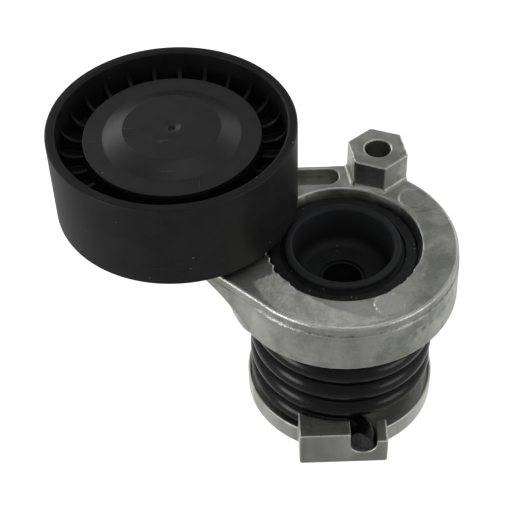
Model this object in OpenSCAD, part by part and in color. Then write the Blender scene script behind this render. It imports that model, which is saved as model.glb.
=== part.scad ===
// Belt tensioner idler: sprung die-cast arm on a round base, carrying a smooth moulded pulley.
// Origin: centre of the base's mounting face, on the pivot axis. +Z points to the pulley side,
// -Y points through the base's anti-rotation tab.

/* [Pulley] */
// Diameter of the belt face
pulley_d = 65; // [60:0.5:70]
// Width of the belt face
pulley_w = 26; // [22:0.5:28]
// Wall thickness of the rim
rim_t = 2.65; // [2:0.05:4]
// Number of radial ribs on each side of the web
rib_count = 26; // [16:1:32]
// Thickness of one rib
rib_t = 1.1; // [0.8:0.1:1.6]

/* [Arm] */
// Distance from the pivot axis to the pulley axis
arm_length = 46.9; // [44:0.1:56]
// Direction of the pulley axis from the pivot axis, in degrees
arm_angle = 158.5; // [140:0.5:180]
// Height of the arm's top face above the mounting face
arm_top_z = 56; // [56:0.5:60]
// Radius of the hub at its top edge
hub_r = 30.3; // [29.5:0.1:32]
// Height of the hub's skirt
skirt_h = 15; // [14:0.5:15]
// Distance across flats of the wrench hexagon
hex_af = 15; // [13:0.5:16]

/* [Base] */
// Radius of the base disc
base_r = 26.3; // [26.1:0.1:28]
// Height of the spring seat above the mounting face
seat_z = 4.85; // [4:0.05:4.85]
// Radius of the hole for the mounting bolt
bolt_hole_r = 5.3; // [4.2:0.1:6]

/* [Spring] */
// Diameter of the spring wire
wire_d = 6.6; // [5:0.1:6.6]
// Mean radius of the coils
coil_r = 22; // [22:0.1:22.2]
// Number of turns
turns = 5; // [3:1:5]

/* [Travel] */
// How far the arm turns between its stops, in degrees
travel = 50; // [20:1:60]

/* [Hidden] */
$fn = 96;
eps = 0.01;

// Base
post_r = 14;
sleeve_r = 8;
post_top_z = 42.4;
rim_z = 6.4;
seat_r = 25.5;
tab_x0 = -12.9;
tab_x1 = 11.3;
tab_y = -30.8;
tab_high_z = 12.7;
tab_low_z = 9.5;
tab_corner_r = 1.5;
notch_x0 = 1.0;
notch_x1 = 8.2;
stop_r0 = post_r + 0.2;
stop_r1 = 17.2;
stop_top_z = 11.8;
stop_angle = 90;
stop_half = 12;
stop_play = 0.6;

// Retaining cup and thrust ring
cup_t = 0.9;
cup_floor_r = 12.55;
cup_mouth_r = 13.35;
cup_lip_r = 15.5;
cup_lip_z = 55.4;
cup_bead_h = 1.95;
cup_hole_r = 6;
cup_fillet_r = 2.7;
ring_r0 = 14.6;
ring_r1 = 19.5;
ring_z0 = 51.5;
ring_z1 = 53.4;

// Arm
arm_low_z = arm_top_z - skirt_h;
hub_low_r = hub_r + 0.6;
part_line_z = arm_top_z - 2.9;
boss_r = 13.3;
plate_t = 3.5;
cavity_r = 26.3;
cavity_z = 47.6;
cavity_back_z = 45.2;
cavity_back_y = 17;
tube_r0 = 15.6;
tube_r1 = 17.4;
tube_low_z = 6;
window_z = 12.4;
pocket_r1 = 20.8;
pocket_r0 = 19.65;
pocket_z = 53;
skirt_fillet_r = 11.5;
skirt_fillet_x = 42.8;
bolt_boss_r = 10;
bolt_boss_z = 42;
shoulder_r = 11.5;
shoulder_z = arm_top_z + 2;
slot_w = 6.15;
slot_x0 = -15;
slot_x1 = -2.6;
slot_y = 25.7;
slot_z = 48.2;
hex_pos = [11.07, 27.1];
hex_turn = -21.5;
hex_top_z = arm_top_z + 8.4;
hex_hole_r = 3.5;
hex_hole_depth = 14;
mark_r = 3.9;
mark_depth = 0.25;
marks = [[19.9, 15.8], [10.1, -22.3]];
leg_pocket_r = 28.2;
leg_pocket_w = 9.5;
leg_pocket_angle = -97;
pulley_pos = arm_length * [cos(arm_angle), sin(arm_angle)];

// Pivot bushes
bush_play = 0.05;
bush_lower = [13, 26];
bush_upper = [30, 43];

// Spring
pitch = 7.1;
wire_z = seat_z + 0.05 + wire_d / 2;
leg_angle = -91;
leg_bend_r = 5.2;
lower_bend = 116;
upper_bend = 45;
upper_straight = 2;
steps_per_turn = 36;
ring_sides = 12;

// Bearing: 17 x 40 x 12 mm
brg_z0 = shoulder_z + 4.5;
brg_w = 12;
brg_z1 = brg_z0 + brg_w;
brg_mid_z = brg_z0 + brg_w / 2;
brg_r0 = 8.5;
brg_r1 = 20;
race_in_r = 12.25;
race_out_r = 16.6;
ball_r = 3.3735;
ball_count = 8;
ball_ring_r = 14.25;
groove_r = 3.47;
groove_play = 0.05;
seal_recess_r = 17.4;
seal_recess_w = 1.9;
seal_t = 0.8;
seal_inset = 0.2;
seal_lip_r = 12.6;
cage_r0 = 12.8;
cage_r1 = 15.8;
cage_z0 = brg_mid_z - 2.5;
cage_z1 = brg_mid_z + 3.6;
cage_play = 0.15;

// Pulley
pulley_r = pulley_d / 2;
pulley_z0 = shoulder_z;
pulley_z1 = pulley_z0 + pulley_w;
rim_in_r = pulley_r - rim_t;
hub_out_r = 23.25;
hub_z0 = brg_z0 - 0.8;
hub_z1 = brg_z1 + 5;
lip_r = 18.8;
lip_t = 0.8;
cap_bore_r = 20.3;
web_z0 = 69.5;
web_z1 = 72.5;
rib_top_z = 75.4;
rib_fillet_r = 4.4;
rib_root_r = hub_out_r - 0.3;
rib_start = 4.2;
rim_edge_r = 0.6;

// Dust cap
cap_flange_t = 0.8;
cap_z = hub_z1 + cap_flange_t;
cap_dome_r = 18;
cap_flat_r = 12.75;
cap_dome_h = 2.5;
cap_wall = 0.9;
cap_skirt_r = cap_bore_r - 0.8;
cap_skirt_z = hub_z1 - 3.2;
dimple_r = 2.45;
dimple_depth = 0.3;
pit_r = 1;
pit_depth = 0.7;

// Pulley fastening
thread_r = 5;
spacer_bore_r = 5.2;
flange_r = 10.6;
shield_t = 0.6;
shield_r = 22.4;
shield_lift = 1.7;
washer_r = 11.2;
washer_t = 1.5;
head_r = 8;
head_h = 4.6;
socket_af = 7;
socket_depth = 3;
bolt_low_z = bolt_boss_z + 1.5;

// Tangent points of a straight edge that touches two circles on the same side
function tangent_edge(p, q, rp, rq, side) =
    let(d = q - p, a = atan2(d[1], d[0]) + side * acos((rp - rq) / norm(d)), n = [cos(a), sin(a)])
    [p + rp * n, q + rq * n];

module arm_outline(r_hub, r_boss) {
    front = tangent_edge([0, 0], pulley_pos, r_hub, r_boss, 1);
    back = tangent_edge([0, 0], pulley_pos, r_hub, r_boss, -1);
    circle(r_hub);
    translate(pulley_pos) circle(r_boss);
    polygon([front[0], front[1], back[1], back[0]]);
}

// Ring of rectangular section between two radii and two heights
module ring(r0, r1, z0, z1) {
    rotate_extrude() translate([r0, z0]) square([r1 - r0, z1 - z0]);
}

module ring_sector(r0, r1, z0, z1, a0, a1) {
    rotate([0, 0, a0]) rotate_extrude(angle = a1 - a0) translate([r0, z0]) square([r1 - r0, z1 - z0]);
}

module at_pulley() {
    translate([pulley_pos[0], pulley_pos[1], 0]) children();
}

// Base

module tab_block(x0, x1, top_z) {
    translate([x0, 0, 0]) rotate([90, 0, 90]) linear_extrude(x1 - x0) union() {
        translate([tab_y, tab_corner_r]) square([-tab_y - 15, top_z - tab_corner_r]);
        translate([tab_y + tab_corner_r, 0]) square([-tab_y - 15 - tab_corner_r, top_z]);
        translate([tab_y + tab_corner_r, tab_corner_r]) circle(tab_corner_r);
    }
}

module tab_notch() {
    w = notch_x1 - notch_x0;
    translate([(notch_x0 + notch_x1) / 2, tab_y - 1, 0]) rotate([-90, 0, 0]) linear_extrude(8) union() {
        translate([-w / 2, -tab_high_z - 1]) square([w, tab_high_z + 1 - seat_z - w / 2]);
        translate([0, -seat_z - w / 2]) circle(w / 2);
    }
}

module base_housing() {
    color("silver") union() {
        difference() {
            union() {
                cylinder(r = base_r, h = rim_z);
                tab_block(tab_x0, notch_x0 + eps, tab_high_z);
                tab_block(notch_x0, tab_x1, tab_low_z);
            }
            translate([0, 0, seat_z]) cylinder(r = seat_r, h = tab_high_z);
            tab_notch();
            translate([0, 0, -1]) cylinder(r = post_r, h = seat_z + 2);
        }
        ring_sector(stop_r0, stop_r1, seat_z - 1, stop_top_z,
            stop_angle - stop_half, stop_angle + stop_half);
    }
}

module pivot_post() {
    color("lightgray") ring(sleeve_r, post_r, 0, post_top_z);
}

module bolt_sleeve() {
    color("gainsboro") ring(bolt_hole_r, sleeve_r, 0, post_top_z);
}

// Section of a cup's solid form: flat bottom, rounded corner, slightly flared wall
module cup_form(bottom_r, top_r, bottom_z, top_z, corner_r) {
    translate([bottom_r - corner_r, bottom_z + corner_r]) circle(corner_r);
    polygon([[0, bottom_z], [bottom_r - corner_r, bottom_z], [bottom_r, bottom_z + corner_r],
        [top_r, top_z], [0, top_z]]);
}

module retaining_cup() {
    bead_r = cup_bead_h / 2;
    bead_z = cup_lip_z - bead_r;
    floor_z = post_top_z + cup_t;
    color([0.1, 0.1, 0.1]) rotate_extrude() union() {
        difference() {
            cup_form(cup_floor_r + cup_t, cup_mouth_r + cup_t, post_top_z, bead_z + 0.3,
                cup_fillet_r + cup_t);
            cup_form(cup_floor_r, cup_mouth_r, floor_z, bead_z + 0.4, cup_fillet_r);
            translate([0, post_top_z - 1]) square([cup_hole_r, 10]);
        }
        translate([cup_mouth_r + bead_r, bead_z]) circle(bead_r);
        translate([cup_lip_r - bead_r, bead_z]) circle(bead_r);
        translate([cup_mouth_r + bead_r, bead_z - bead_r])
            square([cup_lip_r - cup_mouth_r - 2 * bead_r, 2 * bead_r]);
    }
}

module thrust_ring() {
    color([0.14, 0.14, 0.14]) ring(ring_r0, ring_r1, ring_z0, ring_z1);
}

// Arm

// Flat plate from hub to bolt boss, thinned from below with a wide fillet against the hub's skirt
module arm_plate() {
    difference() {
        translate([0, 0, arm_low_z]) linear_extrude(skirt_h) arm_outline(hub_r - 0.15, boss_r);
        rotate_extrude() union() {
            translate([skirt_fillet_x, arm_low_z]) circle(skirt_fillet_r);
            translate([skirt_fillet_x, arm_low_z - 20])
                square([60, 20 + skirt_h - plate_t]);
            translate([hub_low_r + 0.3, arm_low_z - 20]) square([60, 20]);
        }
    }
}

// Skirt with draft, and a small step at the parting line
module hub_body() {
    rotate_extrude() polygon([[0, arm_low_z], [hub_low_r, arm_low_z], [hub_r + 0.2, part_line_z],
        [hub_r, part_line_z], [hub_r, arm_top_z], [0, arm_top_z]]);
}

module spring_cavity() {
    translate([0, 0, arm_low_z - 1]) cylinder(r = cavity_r, h = cavity_back_z - arm_low_z + 1);
    difference() {
        translate([0, 0, arm_low_z]) cylinder(r = cavity_r, h = cavity_z - arm_low_z);
        translate([-40, cavity_back_y, 0]) cube([80, 40, arm_top_z]);
    }
    rotate([0, 0, leg_pocket_angle]) translate([cavity_r - 3, -leg_pocket_w / 2, arm_low_z - 1])
        cube([leg_pocket_r - cavity_r + 3, leg_pocket_w, cavity_z - arm_low_z + 1]);
}

module long_slot() {
    translate([0, slot_y, slot_z]) linear_extrude(arm_top_z) union() {
        translate([slot_x0, -slot_w / 2]) square([slot_x1 - slot_x0, slot_w]);
        translate([slot_x0, 0]) circle(slot_w / 2);
        translate([slot_x1, 0]) circle(slot_w / 2);
    }
}

module hex_boss() {
    translate([hex_pos[0], hex_pos[1], arm_low_z]) rotate([0, 0, hex_turn])
        cylinder(r = hex_af / 2 / cos(30), h = hex_top_z - arm_low_z, $fn = 6);
}

module hex_hole() {
    translate([hex_pos[0], hex_pos[1], hex_top_z]) {
        translate([0, 0, -hex_hole_depth]) cylinder(r = hex_hole_r, h = hex_hole_depth + 1);
        translate([0, 0, -0.5]) cylinder(r1 = hex_hole_r, r2 = hex_hole_r + 0.5, h = 0.5 + eps);
    }
}

module arm_casting() {
    color("darkgray") difference() {
        union() {
            hub_body();
            arm_plate();
            hex_boss();
            at_pulley() translate([0, 0, bolt_boss_z]) cylinder(r = bolt_boss_r, h = skirt_h - 2);
            at_pulley() translate([0, 0, arm_top_z - 1])
                cylinder(r = shoulder_r, h = shoulder_z - arm_top_z + 1);
        }
        spring_cavity();
        translate([0, 0, arm_low_z]) cylinder(r = tube_r1, h = skirt_h + 1);
        translate([0, 0, ring_z0]) cylinder(r = pocket_r0, h = skirt_h);
        translate([0, 0, pocket_z])
            cylinder(r1 = pocket_r0, r2 = pocket_r1, h = arm_top_z - pocket_z + eps);
        long_slot();
        hex_hole();
        for (m = marks) translate([m[0], m[1], arm_top_z - mark_depth]) cylinder(r = mark_r, h = 1);
        at_pulley() translate([0, 0, bolt_boss_z - 1]) cylinder(r = thread_r, h = 20);
    }
}

// Tube pressed into the arm's deck; the window at its foot meets the base's stop lug
module pivot_tube() {
    window_a0 = stop_angle - stop_half - stop_play;
    window_a1 = stop_angle + stop_half + travel + stop_play;
    color("lightgray") difference() {
        ring(tube_r0, tube_r1, tube_low_z, ring_z0);
        ring_sector(tube_r0 - 1, tube_r1 + 1, tube_low_z - 1, window_z, window_a0, window_a1);
    }
}

module pivot_bush_lower() {
    color("peru") ring(post_r + bush_play, tube_r0, bush_lower[0], bush_lower[1]);
}

module pivot_bush_upper() {
    color("peru") ring(post_r + bush_play, tube_r0, bush_upper[0], bush_upper[1]);
}

// Spring: lower leg bent outward, left-hand helix, upper leg bent outward

function polar(r, a) = [r * cos(a), r * sin(a)];

function lower_leg() =
    let(c = polar(coil_r + leg_bend_r, leg_angle), n = 10)
    [for (i = [n:-1:1]) let(p = c + polar(leg_bend_r, leg_angle + 180 - lower_bend * i / n))
        [p[0], p[1], wire_z]];

function coil() =
    let(n = turns * steps_per_turn)
    [for (i = [0:n]) let(t = i / steps_per_turn, p = polar(coil_r, leg_angle - 360 * t))
        [p[0], p[1], wire_z + pitch * t]];

function upper_leg() =
    let(c = polar(coil_r + leg_bend_r, leg_angle), n = 4, z = wire_z + pitch * turns,
        last = c + polar(leg_bend_r, leg_angle + 180 + upper_bend),
        tip = last + polar(upper_straight, leg_angle - 90 + upper_bend))
    concat([for (i = [1:n]) let(p = c + polar(leg_bend_r, leg_angle + 180 + upper_bend * i / n))
        [p[0], p[1], z]], [[tip[0], tip[1], z]]);

// Round bar of radius r along a path of points
module bar(path, r) {
    last = len(path) - 1;
    dirs = [for (i = [0:last]) path[min(i + 1, last)] - path[max(i - 1, 0)]];
    points = [for (i = [0:last])
        let(t = dirs[i] / norm(dirs[i]), s = cross(t, [0, 0, 1]), u = s / norm(s), v = cross(u, t))
        for (k = [0:ring_sides - 1]) let(a = 360 * k / ring_sides) path[i] + r * (cos(a) * u + sin(a) * v)];
    sides = [for (i = [0:last - 1]) for (k = [0:ring_sides - 1])
        let(a = i * ring_sides + k, b = i * ring_sides + (k + 1) % ring_sides)
        [a, b, b + ring_sides, a + ring_sides]];
    start_cap = [for (k = [ring_sides - 1:-1:0]) k];
    end_cap = [for (k = [0:ring_sides - 1]) last * ring_sides + k];
    polyhedron(points = points, faces = concat(sides, [start_cap, end_cap]));
}

module torsion_spring() {
    color([0.12, 0.12, 0.13]) bar(concat(lower_leg(), coil(), upper_leg()), wire_d / 2);
}

// Pulley fastening

module bearing_spacer() {
    color("lightgray") at_pulley() union() {
        ring(spacer_bore_r, flange_r, shoulder_z + shield_t, brg_z0);
        ring(spacer_bore_r, brg_r0, brg_z0, brg_z1 - 0.1);
    }
}

module rear_dust_shield() {
    color("lightgray") at_pulley() union() {
        ring(spacer_bore_r, shield_r, shoulder_z, shoulder_z + shield_t);
        ring(shield_r - shield_t, shield_r, shoulder_z, shoulder_z + shield_lift);
    }
}

module pulley_bolt() {
    z = brg_z1 + washer_t;
    color("gray") at_pulley() difference() {
        union() {
            translate([0, 0, bolt_low_z]) cylinder(r = thread_r, h = z - bolt_low_z);
            translate([0, 0, z]) cylinder(r = head_r, h = head_h);
        }
        translate([0, 0, z + head_h - socket_depth])
            cylinder(r = socket_af / 2 / cos(30), h = socket_depth + 1, $fn = 6);
    }
}

module bolt_washer() {
    color("lightgray") at_pulley() ring(thread_r, washer_r, brg_z1, brg_z1 + washer_t);
}

// Bearing

module groove(r) {
    translate([r, brg_mid_z]) circle(groove_r);
}

module bearing_inner_ring() {
    color("lightsteelblue") at_pulley() rotate_extrude() difference() {
        translate([brg_r0, brg_z0]) square([race_in_r - brg_r0, brg_w]);
        groove(ball_ring_r - ball_r - groove_play + groove_r);
    }
}

module bearing_outer_ring() {
    color("lightsteelblue") at_pulley() rotate_extrude() difference() {
        translate([race_out_r, brg_z0]) square([brg_r1 - race_out_r, brg_w]);
        groove(ball_ring_r + ball_r + groove_play - groove_r);
        for (z = [brg_z0 - 1, brg_z1 - seal_recess_w + 0.9]) translate([0, z]) square([seal_recess_r, 2]);
    }
}

module bearing_balls() {
    color("white") at_pulley() for (i = [0:ball_count - 1])
        rotate([0, 0, 360 * i / ball_count]) translate([ball_ring_r, 0, brg_mid_z]) sphere(ball_r);
}

module bearing_cage() {
    color("beige") at_pulley() difference() {
        ring(cage_r0, cage_r1, cage_z0, cage_z1);
        for (i = [0:ball_count - 1]) rotate([0, 0, 360 * i / ball_count])
            translate([ball_ring_r, 0, brg_mid_z]) sphere(ball_r + cage_play);
    }
}

module bearing_seal_top() {
    z = brg_z1 - seal_inset;
    color([0.2, 0.12, 0.1]) at_pulley() ring(seal_lip_r, seal_recess_r, z - seal_t, z);
}

module bearing_seal_bottom() {
    z = brg_z0 + seal_inset;
    color([0.2, 0.12, 0.1]) at_pulley() ring(seal_lip_r, seal_recess_r, z, z + seal_t);
}

// Pulley

// Radial rib: flat top, then a hollow rise to the rim
module rib_profile_top() {
    difference() {
        translate([rib_root_r, web_z1 - 0.5])
            square([rim_in_r + 0.3 - rib_root_r, rib_top_z + rib_fillet_r - web_z1 + 0.5]);
        translate([rim_in_r - rib_fillet_r, rib_top_z + rib_fillet_r]) circle(rib_fillet_r);
        translate([0, rib_top_z]) square([rim_in_r - rib_fillet_r, 10]);
    }
}

module rib_profile_bottom() {
    translate([rib_root_r, hub_z0 + 1]) square([rim_in_r + 0.3 - rib_root_r, web_z0 - hub_z0 - 0.5]);
}

module ribs() {
    for (i = [0:rib_count - 1]) rotate([0, 0, rib_start + i * 360 / rib_count])
        translate([0, rib_t / 2, 0]) rotate([90, 0, 0]) linear_extrude(rib_t) union() {
            rib_profile_top();
            rib_profile_bottom();
        }
}

module pulley_profile() {
    union() {
        translate([rim_in_r, pulley_z0 + rim_edge_r]) square([rim_t, pulley_w - 2 * rim_edge_r]);
        translate([rim_in_r + rim_edge_r, pulley_z0]) square([rim_t - 2 * rim_edge_r, pulley_w]);
        for (x = [rim_in_r + rim_edge_r, pulley_r - rim_edge_r])
            for (z = [pulley_z0 + rim_edge_r, pulley_z1 - rim_edge_r])
                translate([x, z]) circle(rim_edge_r);
        translate([hub_out_r - 1, web_z0]) square([rim_in_r - hub_out_r + 1.5, web_z1 - web_z0]);
        translate([brg_r1, hub_z0]) square([hub_out_r - brg_r1, brg_z1 + lip_t - hub_z0]);
        translate([cap_bore_r, brg_z1]) square([hub_out_r - cap_bore_r, hub_z1 - brg_z1]);
        translate([lip_r, hub_z0]) square([hub_out_r - lip_r, brg_z0 - hub_z0]);
        translate([lip_r, brg_z1]) square([hub_out_r - lip_r, lip_t]);
    }
}

module pulley() {
    color([0.08, 0.08, 0.08]) at_pulley() union() {
        rotate_extrude() pulley_profile();
        ribs();
    }
}

module dust_cap() {
    color([0.12, 0.12, 0.12]) at_pulley() rotate_extrude() difference() {
        union() {
            translate([0, hub_z1]) square([hub_out_r, cap_flange_t]);
            polygon([[0, hub_z1], [cap_dome_r, hub_z1], [cap_dome_r, cap_z],
                [cap_flat_r, cap_z + cap_dome_h], [0, cap_z + cap_dome_h]]);
            translate([cap_skirt_r, cap_skirt_z]) square([cap_bore_r - cap_skirt_r, hub_z1 - cap_skirt_z]);
        }
        polygon([[0, hub_z1 - 1], [cap_dome_r - 0.6, hub_z1 - 1], [cap_dome_r - 0.6, hub_z1],
            [cap_flat_r - 0.4, cap_z + cap_dome_h - cap_wall], [0, cap_z + cap_dome_h - cap_wall - 0.3]]);
        translate([0, cap_z + cap_dome_h]) polygon([[0, -pit_depth], [0.7 * pit_r, -pit_depth],
            [pit_r, -dimple_depth], [dimple_r, 0], [dimple_r, 1], [0, 1]]);
    }
}

base_housing();
pivot_post();
bolt_sleeve();
retaining_cup();
thrust_ring();
arm_casting();
pivot_tube();
pivot_bush_lower();
pivot_bush_upper();
torsion_spring();
bearing_spacer();
rear_dust_shield();
pulley_bolt();
bolt_washer();
bearing_inner_ring();
bearing_outer_ring();
bearing_balls();
bearing_cage();
bearing_seal_top();
bearing_seal_bottom();
pulley();
dust_cap();
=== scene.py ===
"""Belt tensioner idler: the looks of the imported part. Shapes are worked out in millimetres."""

import math

import bmesh
import bpy
import numpy as np
from mathutils import Matrix, Vector


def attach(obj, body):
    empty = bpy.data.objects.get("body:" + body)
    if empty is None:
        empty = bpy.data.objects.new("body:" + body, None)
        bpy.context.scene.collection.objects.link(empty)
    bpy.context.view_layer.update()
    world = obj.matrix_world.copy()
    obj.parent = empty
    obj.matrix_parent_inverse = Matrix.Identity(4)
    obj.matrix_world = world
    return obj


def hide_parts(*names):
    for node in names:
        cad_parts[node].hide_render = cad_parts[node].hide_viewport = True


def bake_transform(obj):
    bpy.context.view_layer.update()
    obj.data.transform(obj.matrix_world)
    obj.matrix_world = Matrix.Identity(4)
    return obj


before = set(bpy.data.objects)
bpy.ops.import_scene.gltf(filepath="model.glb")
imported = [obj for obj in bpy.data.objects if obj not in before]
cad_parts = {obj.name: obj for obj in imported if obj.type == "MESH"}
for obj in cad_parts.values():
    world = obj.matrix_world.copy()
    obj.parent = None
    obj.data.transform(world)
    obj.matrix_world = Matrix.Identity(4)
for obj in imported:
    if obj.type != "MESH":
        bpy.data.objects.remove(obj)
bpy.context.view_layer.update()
MM = 0.001

# Shared sizes in millimetres, as in the CAD source
PULLEY_X, PULLEY_Y = -43.6366, 17.1889
ARM_LENGTH = math.hypot(PULLEY_X, PULLEY_Y)
ARM_TOP, ARM_LOW = 56.0, 41.0
PART_LINE = 53.1
HUB_R, BOSS_R = 30.3, 13.3
HEX_X, HEX_Y, HEX_TURN = 11.07, 27.1, -21.5
EJECTOR_MARKS = ((19.9, 15.8), (10.1, -22.3))
TAB_X0, TAB_X1, TAB_Y = -12.9, 11.3, -30.8
NOTCH_X, NOTCH_HALF, NOTCH_END_Y = 4.6, 3.6, -23.8
SEAT_Z, SEAT_R, BASE_R, RIM_Z = 4.85, 25.5, 26.3, 6.4
WIRE_R, COIL_R, WIRE_Z, PITCH, TURNS = 3.3, 22.0, 8.2, 7.1, 5
RIM_IN, RIM_OUT, FACE_Z0, FACE_Z1 = 29.85, 32.5, 58.0, 84.0
HUB_IN, HUB_OUT, WEB_LOW, WEB_TOP, HUB_TOP = 20.3, 23.25, 69.5, 72.5, 79.5
RIB_COUNT, RIB_START, RIB_HALF, RIB_TOP, RIB_RISE = 26, 4.2, 0.58, 75.4, 4.4
BALL_COUNT, BALL_R, BALL_RING_R, BALL_Z = 8, 3.3735, 14.25, 68.5
# Cut end of the spring's wire from its middle out: share of the radius, way back, how far it faces along
WIRE_END = ((0, 0, 1), (0.6, 0, 1), (0.90, 0, 1), (0.97, -0.08, 0.6), (0.995, -0.25, 0.1))
# Start, end and width of the dark scratches on the arm's deck
DECK_SCRATCHES = (((20.6, 10.4), (26.9, 11.7), 0.45), ((22.6, 11.9), (25.8, 10.9), 0.35),
                  ((24.5, 9.4), (27.4, 9.0), 0.3))


# ---------------------------------------------------------------- distance fields

def smooth(x, low, high):
    t = np.clip((x - low) / (high - low), 0, 1)
    return t * t * (3 - 2 * t)


def round_max(a, b, r):
    """Where both fields are inside, with an edge of radius r."""
    u, v = a + r, b + r
    return np.minimum(np.maximum(u, v), 0) + np.hypot(np.maximum(u, 0), np.maximum(v, 0)) - r


def round_min(a, b, r):
    """Where either field is inside, with a fillet of radius r."""
    return -round_max(-a, -b, r)


def ripple(x, y, size, seed):
    """Smooth irregular wave between about -1 and 1: sines in scattered directions."""
    rng = np.random.default_rng(seed)
    total = 0
    for _ in range(7):
        turn, length, phase = rng.uniform(0, math.tau), size * rng.uniform(0.6, 1.7), rng.uniform(0, math.tau)
        total = total + np.sin((x * math.cos(turn) + y * math.sin(turn)) * math.tau / length + phase)
    return total / 3.6


def uneven_capsule(x, y):
    """Outline of the arm seen from above: hub circle, boss circle and the two lines that touch both."""
    along = (x * PULLEY_X + y * PULLEY_Y) / ARM_LENGTH
    across = np.abs(x * PULLEY_Y - y * PULLEY_X) / ARM_LENGTH
    b = (HUB_R - 0.15 - BOSS_R) / ARM_LENGTH
    a = math.sqrt(1 - b * b)
    k = a * along - b * across
    flank = a * across + b * along - (HUB_R - 0.15)
    near = np.hypot(across, along) - (HUB_R - 0.15)
    far = np.hypot(across, along - ARM_LENGTH) - BOSS_R
    return np.where(k < 0, near, np.where(k > a * ARM_LENGTH, far, flank))


def hexagon(x, y, half):
    turn = math.radians(HEX_TURN)
    out = None
    for k in (30, 90, 150):
        a = turn + math.radians(k)
        d = np.abs((x - HEX_X) * math.cos(a) + (y - HEX_Y) * math.sin(a)) - half
        out = d if out is None else round_max(out, d, 0.35)
    return out


def degrees_from(x, y, centre):
    """Azimuth in degrees, wrapped to within half a turn of centre."""
    return (np.degrees(np.arctan2(y, x)) - centre + 180) % 360 - 180 + centre


def torn_edge(x, y):
    """How far the torn casting flash reaches into the bore, by azimuth."""
    az = degrees_from(x, y, -120)
    left = smooth(az, -178, -170) * (1 - smooth(az, -136, -129))
    right = smooth(az, -62, -52) * (1 - smooth(az, -26, -17))
    notch = np.exp(-((az + 152) / 2.2) ** 2)
    ragged = ripple(az, 0 * az, 9, 3) + 0.5 * ripple(az, 0 * az, 3.1, 4)
    return left * (0.55 + 0.28 * ragged) - 0.8 * left * notch + right * (0.22 + 0.25 * ragged)


def bore_field(x, y, z, r):
    cone = np.interp(z, (53, 56), (19.65, 20.8)) - torn_edge(x, y) * smooth(z, 54.5, 55.9)
    tube = r - 17.4
    pocket = np.maximum(r - 19.65, 51.5 - z)
    return np.minimum(np.minimum(tube, pocket), np.maximum(r - cone, 53 - z))


def spring_space(x, y, z, r):
    roof = z - (47.6 - 2.4 * smooth(y, 16.4, 17.6))
    turn = math.radians(-97)
    out = x * math.cos(turn) + y * math.sin(turn)
    across = np.abs(y * math.cos(turn) - x * math.sin(turn))
    pocket = round_max(round_max(across - 4.75, out - 28.2, 0.5), np.maximum(23.3 - out, z - 47.6), 0.5)
    return np.minimum(round_max(r - 26.3, roof, 0.8), pocket)


def arm_field(x, y, z):
    r = np.hypot(x, y)
    rp = np.hypot(x - PULLEY_X, y - PULLEY_Y)
    hub = r - np.interp(z, (41, 52.7, 53.3, 56), (30.9, 30.55, 30.27, 30.25))
    under = np.minimum(np.hypot(r - 42.8, z - 41) - 11.5,
                       np.minimum(np.maximum(42.8 - r, z - 52.5), np.maximum(31.2 - r, z - 41)))
    plate = round_max(uneven_capsule(x, y), -under, 0.35)
    column = round_max(rp - 10, 42 - z, 0.5)
    body = np.minimum(hub, round_min(plate, column, 2.0))
    sink = 0
    for mx, my in EJECTOR_MARKS:
        sink = sink + 0.2 * (1 - smooth(np.hypot(x - mx, y - my), 3.5, 3.95))
    body = round_max(body, z - ARM_TOP + sink, 0.85)
    boss = round_max(hexagon(x, y, 7.5 - 0.008 * np.maximum(z - ARM_TOP, 0)), z - 64.4, 0.35)
    body = round_min(body, boss, 1.1)
    body = round_min(body, round_max(rp - 11.5, z - 58, 0.3), 0.8)
    body = round_max(body, ARM_LOW - z, 0.5)
    body = round_max(body, -spring_space(x, y, z, r), 0.4)
    body = round_max(body, -bore_field(x, y, z, r), 0.25)
    sx = np.clip(x, -15, -2.6)
    slot = round_max(np.hypot(x - sx, y - 25.7) - 3.075, 48.2 - z, 0.6)
    body = round_max(body, -slot, 0.35)
    pin = np.maximum(np.hypot(x - HEX_X, y - HEX_Y) - 3.5, 50.4 - z)
    body = round_max(body, -pin, 0.5)
    return round_max(body, -(rp - 5), 0.3)


def base_field(x, y, z):
    r = np.hypot(x, y)
    disc = round_max(r - BASE_R, z - RIM_Z, 0.3)
    front = round_max(TAB_Y - y, -z, 1.5)
    flanks = round_max(np.maximum(TAB_X0 - x, x - TAB_X1), -z, 1.3)
    sides = round_max(flanks, np.maximum(front, y + 15), 0.5)
    tab = round_max(sides, z - (12.7 - 3.2 * smooth(x, 4.2, 5)), 0.4)
    body = round_min(disc, tab, 0.4)
    body = round_max(body, -z, 0.35)
    body = round_max(body, -np.maximum(r - SEAT_R, SEAT_Z - z), 0.22)
    across, rise = x - NOTCH_X, z - SEAT_Z - NOTCH_HALF
    gap = np.where(rise > 0, np.abs(across), np.hypot(across, rise))
    body = round_max(body, -np.maximum(gap - NOTCH_HALF, y - NOTCH_END_Y), 0.35)
    lug = np.maximum(np.maximum(14.2 - r, r - 17.2), np.maximum(z - 11.8, SEAT_Z - 1 - z))
    lug = np.maximum(lug, np.abs(degrees_from(x, y, 90) - 90) * 0.27 - 12 * 0.27)
    return round_max(np.minimum(body, lug), 14 - r, 0.2)


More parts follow.
